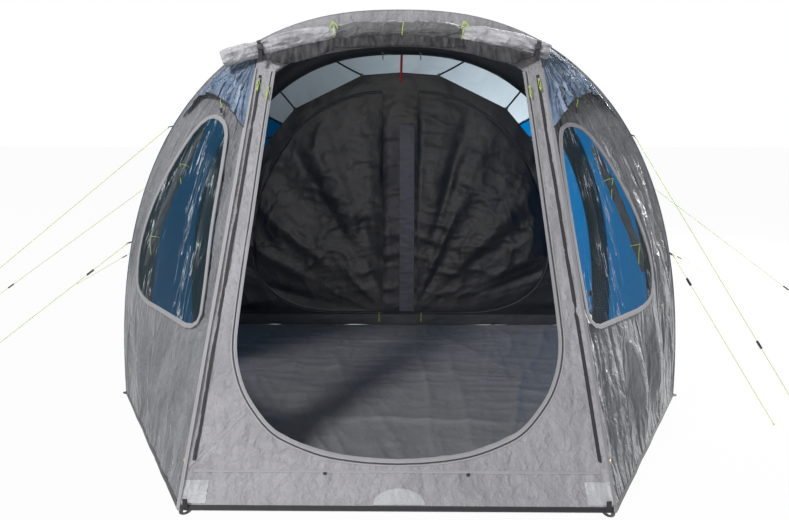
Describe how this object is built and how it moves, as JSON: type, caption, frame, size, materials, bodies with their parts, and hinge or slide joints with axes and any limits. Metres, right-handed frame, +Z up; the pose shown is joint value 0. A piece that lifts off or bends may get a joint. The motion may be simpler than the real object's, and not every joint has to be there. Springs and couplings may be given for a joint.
{
  "type": "inflatable tent",
  "caption": "Tunnel tent held up by air beams, with a sloping open porch with clear side windows, a living room and a hung bedroom with zipped doors.",
  "frame": {"origin": "middle of the footprint, on the ground under the groundsheet", "axes": "+Z up, +Y along the tent from the porch to the back, +X to the right as seen from the porch"},
  "size_m": [6.1421, 4.9322, 2],
  "materials": {
    "grey_cloth": "woven",
    "blue_cloth": "woven",
    "wall_cloth": "woven",
    "black_cloth": "woven",
    "beam_sleeve": "woven",
    "window_film": "clear",
    "ground_cloth": "woven",
    "webbing": "ribbed",
    "neon_cord": "braided",
    "black_plastic": "moulded",
    "bright_metal": "satin"
  },
  "bodies": {
    "root": {"roof_front": "grey_cloth", "wall_front_right": "wall_cloth", "wall_front_left": "wall_cloth", "roof_rear": "grey_cloth", "wall_rear_right": "wall_cloth", "wall_rear_left": "wall_cloth", "porch_panel": "grey_cloth", "porch_side_left": "grey_cloth", "window_left": "window_film", "porch_side_right": "grey_cloth", "window_right": "window_film", "rear_wall": "grey_cloth", "hood_left": "blue_cloth", "hood_right": "blue_cloth", "beam_front": "beam_sleeve", "beam_middle": "beam_sleeve", "beam_rear": "beam_sleeve", "door_roll": "grey_cloth", "roll_strap_left": "webbing", "roll_strap_right": "webbing", "vent_left": "blue_cloth", "vent_right": "blue_cloth", "inner_tent": "black_cloth", "inner_floor": "ground_cloth", "inner_front_wall": "black_cloth", "living_groundsheet": "ground_cloth", "guy_line_front_upper_left": "neon_cord", "guy_line_front_lower_left": "neon_cord", "guy_line_middle_left": "neon_cord", "guy_line_rear_left": "neon_cord", "guy_line_front_upper_right": "neon_cord", "guy_line_front_lower_right": "neon_cord", "guy_line_middle_right": "neon_cord", "guy_line_rear_right": "neon_cord"},
    "side_slider_left": {"side_slider_left": "bright_metal"},
    "side_pull_left": {"side_pull_left": "neon_cord"},
    "door_slider_left": {"door_slider_left": "bright_metal"},
    "door_pull_left": {"door_pull_left": "neon_cord"},
    "inner_slider_left": {"inner_slider_left": "bright_metal"},
    "inner_pull_left": {"inner_pull_left": "neon_cord"},
    "inner_door_left": {"inner_door_left": "black_cloth"},
    "side_slider_right": {"side_slider_right": "bright_metal"},
    "side_pull_right": {"side_pull_right": "neon_cord"},
    "door_slider_right": {"door_slider_right": "bright_metal"},
    "door_pull_right": {"door_pull_right": "neon_cord"},
    "inner_slider_right": {"inner_slider_right": "bright_metal"},
    "inner_pull_right": {"inner_pull_right": "neon_cord"},
    "inner_door_right": {"inner_door_right": "black_cloth"},
    "valve_cap_front": {"valve_cap_front": "black_plastic"},
    "valve_cap_middle": {"valve_cap_middle": "black_plastic"},
    "valve_cap_rear": {"valve_cap_rear": "black_plastic"},
    "runner_front_upper_left": {"runner_front_upper_left": "black_plastic"},
    "runner_front_lower_left": {"runner_front_lower_left": "black_plastic"},
    "runner_middle_left": {"runner_middle_left": "black_plastic"},
    "runner_rear_left": {"runner_rear_left": "black_plastic"},
    "runner_front_upper_right": {"runner_front_upper_right": "black_plastic"},
    "runner_front_lower_right": {"runner_front_lower_right": "black_plastic"},
    "runner_middle_right": {"runner_middle_right": "black_plastic"},
    "runner_rear_right": {"runner_rear_right": "black_plastic"}
  },
  "joints": [
    {"name": "side_zip_left", "type": "slide", "parent": "root", "child": "side_slider_left", "axis": [-0.0724, -0.5466, -0.8343], "range_m": [0, 1.777]},
    {"name": "side_pull_left_swing", "type": "hinge", "parent": "side_slider_left", "child": "side_pull_left", "pos_m": [-0.66717, -1.34889, 1.66037], "axis": [-0.9974, 0.0397, 0.0606], "range_deg": [0, 170]},
    {"name": "door_zip_left", "type": "slide", "parent": "root", "child": "door_slider_left", "axis": [-0.0578, -0.5471, -0.8351], "range_m": [0, 1.131]},
    {"name": "door_pull_left_swing", "type": "hinge", "parent": "door_slider_left", "child": "door_pull_left", "pos_m": [-0.62044, -1.37225, 1.62471], "axis": [-0.9983, 0.0317, 0.0484], "range_deg": [0, 170]},
    {"name": "inner_zip_left", "type": "slide", "parent": "root", "child": "inner_slider_left", "axis": [-1, 0, 0], "range_m": [0, 0.25]},
    {"name": "inner_pull_left_swing", "type": "hinge", "parent": "inner_slider_left", "child": "inner_pull_left", "pos_m": [-0.15, 0.3052, 0.092], "axis": [-1, 0, 0], "range_deg": [0, 170]},
    {"name": "inner_door_left_swing", "type": "hinge", "parent": "root", "child": "inner_door_left", "pos_m": [-0.12, 0.315, 0.53], "axis": [0, 0, 1], "range_deg": [0, 95]},
    {"name": "side_zip_right", "type": "slide", "parent": "root", "child": "side_slider_right", "axis": [0.0724, -0.5466, -0.8343], "range_m": [0, 1.777]},
    {"name": "side_pull_right_swing", "type": "hinge", "parent": "side_slider_right", "child": "side_pull_right", "pos_m": [0.66717, -1.34889, 1.66037], "axis": [-0.9974, -0.0397, -0.0606], "range_deg": [0, 170]},
    {"name": "door_zip_right", "type": "slide", "parent": "root", "child": "door_slider_right", "axis": [0.0578, -0.5471, -0.8351], "range_m": [0, 1.131]},
    {"name": "door_pull_right_swing", "type": "hinge", "parent": "door_slider_right", "child": "door_pull_right", "pos_m": [0.62044, -1.37225, 1.62471], "axis": [-0.9983, -0.0317, -0.0484], "range_deg": [0, 170]},
    {"name": "inner_zip_right", "type": "slide", "parent": "root", "child": "inner_slider_right", "axis": [1, 0, 0], "range_m": [0, 0.25]},
    {"name": "inner_pull_right_swing", "type": "hinge", "parent": "inner_slider_right", "child": "inner_pull_right", "pos_m": [0.15, 0.3052, 0.092], "axis": [-1, 0, 0], "range_deg": [0, 170]},
    {"name": "inner_door_right_swing", "type": "hinge", "parent": "root", "child": "inner_door_right", "pos_m": [0.12, 0.315, 0.53], "axis": [0, 0, -1], "range_deg": [0, 95]},
    {"name": "valve_cap_front_turn", "type": "hinge", "parent": "root", "child": "valve_cap_front", "pos_m": [1.3433, -1.097, 0.2547], "axis": [-0.9978, 0, -0.0662], "continuous": true},
    {"name": "valve_cap_middle_turn", "type": "hinge", "parent": "root", "child": "valve_cap_middle", "pos_m": [1.3433, 0.225, 0.2547], "axis": [-0.9978, 0, -0.0662], "continuous": true},
    {"name": "valve_cap_rear_turn", "type": "hinge", "parent": "root", "child": "valve_cap_rear", "pos_m": [1.27138, 1.667, 0.25293], "axis": [-0.9971, 0, -0.0756], "continuous": true},
    {"name": "runner_front_upper_left_slide", "type": "slide", "parent": "root", "child": "runner_front_upper_left", "axis": [-0.7522, -0.1883, -0.6314], "range_m": [-1.69, 0.446]},
    {"name": "runner_front_lower_left_slide", "type": "slide", "parent": "root", "child": "runner_front_lower_left", "axis": [-0.7468, -0.3039, -0.5915], "range_m": [-0.18, 1.091]},
    {"name": "runner_middle_left_slide", "type": "slide", "parent": "root", "child": "runner_middle_left", "axis": [-0.7965, -0.1679, -0.5808], "range_m": [-1.69, 0.545]},
    {"name": "runner_rear_left_slide", "type": "slide", "parent": "root", "child": "runner_rear_left", "axis": [-0.8694, -0.0274, -0.4933], "range_m": [-1.24, 0.438]},
    {"name": "runner_front_upper_right_slide", "type": "slide", "parent": "root", "child": "runner_front_upper_right", "axis": [0.4819, -0.2565, -0.8378], "range_m": [-1.14, 0.385]},
    {"name": "runner_front_lower_right_slide", "type": "slide", "parent": "root", "child": "runner_front_lower_right", "axis": [0.4182, -0.4353, -0.7972], "range_m": [-0.1, 0.74]},
    {"name": "runner_middle_right_slide", "type": "slide", "parent": "root", "child": "runner_middle_right", "axis": [0.7969, -0.1116, -0.5937], "range_m": [-1.69, 0.494]},
    {"name": "runner_rear_right_slide", "type": "slide", "parent": "root", "child": "runner_rear_right", "axis": [0.8694, -0.0274, -0.4933], "range_m": [-1.24, 0.438]}
  ]
}
